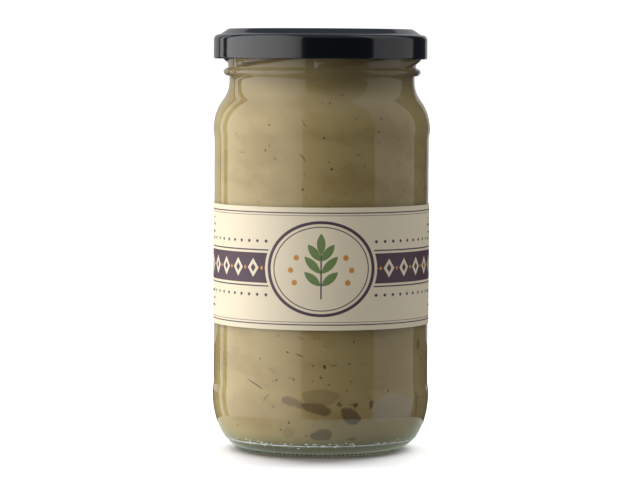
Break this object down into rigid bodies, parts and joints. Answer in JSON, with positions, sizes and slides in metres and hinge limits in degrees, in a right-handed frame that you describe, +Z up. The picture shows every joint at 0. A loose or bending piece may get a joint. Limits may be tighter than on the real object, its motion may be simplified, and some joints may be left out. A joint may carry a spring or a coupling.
{
  "type": "jar of baba ganoush",
  "caption": "Shut round glass jar of smoked aubergine puree with a black twist-off metal lid and a wrapped paper label.",
  "frame": {"origin": "middle of the circle that the jar stands on, at the height of the surface under it", "axes": "+Z up along the jar's axis, -Y out of the front of the label, +X to the viewer's right"},
  "size_m": [0.068, 0.068, 0.1316],
  "materials": {
    "clear_glass": "clear moulded glass with a faint green tint, smooth and glossy",
    "lid_paint": "glossy black lacquer on tinplate",
    "label_paper": null,
    "puree": "moist grey-beige aubergine puree with dark specks"
  },
  "bodies": {
    "root": {"glass_jar": "clear_glass", "lid": "lid_paint", "paper_label": "label_paper", "baba_ganoush": "puree"}
  },
  "joints": []
}
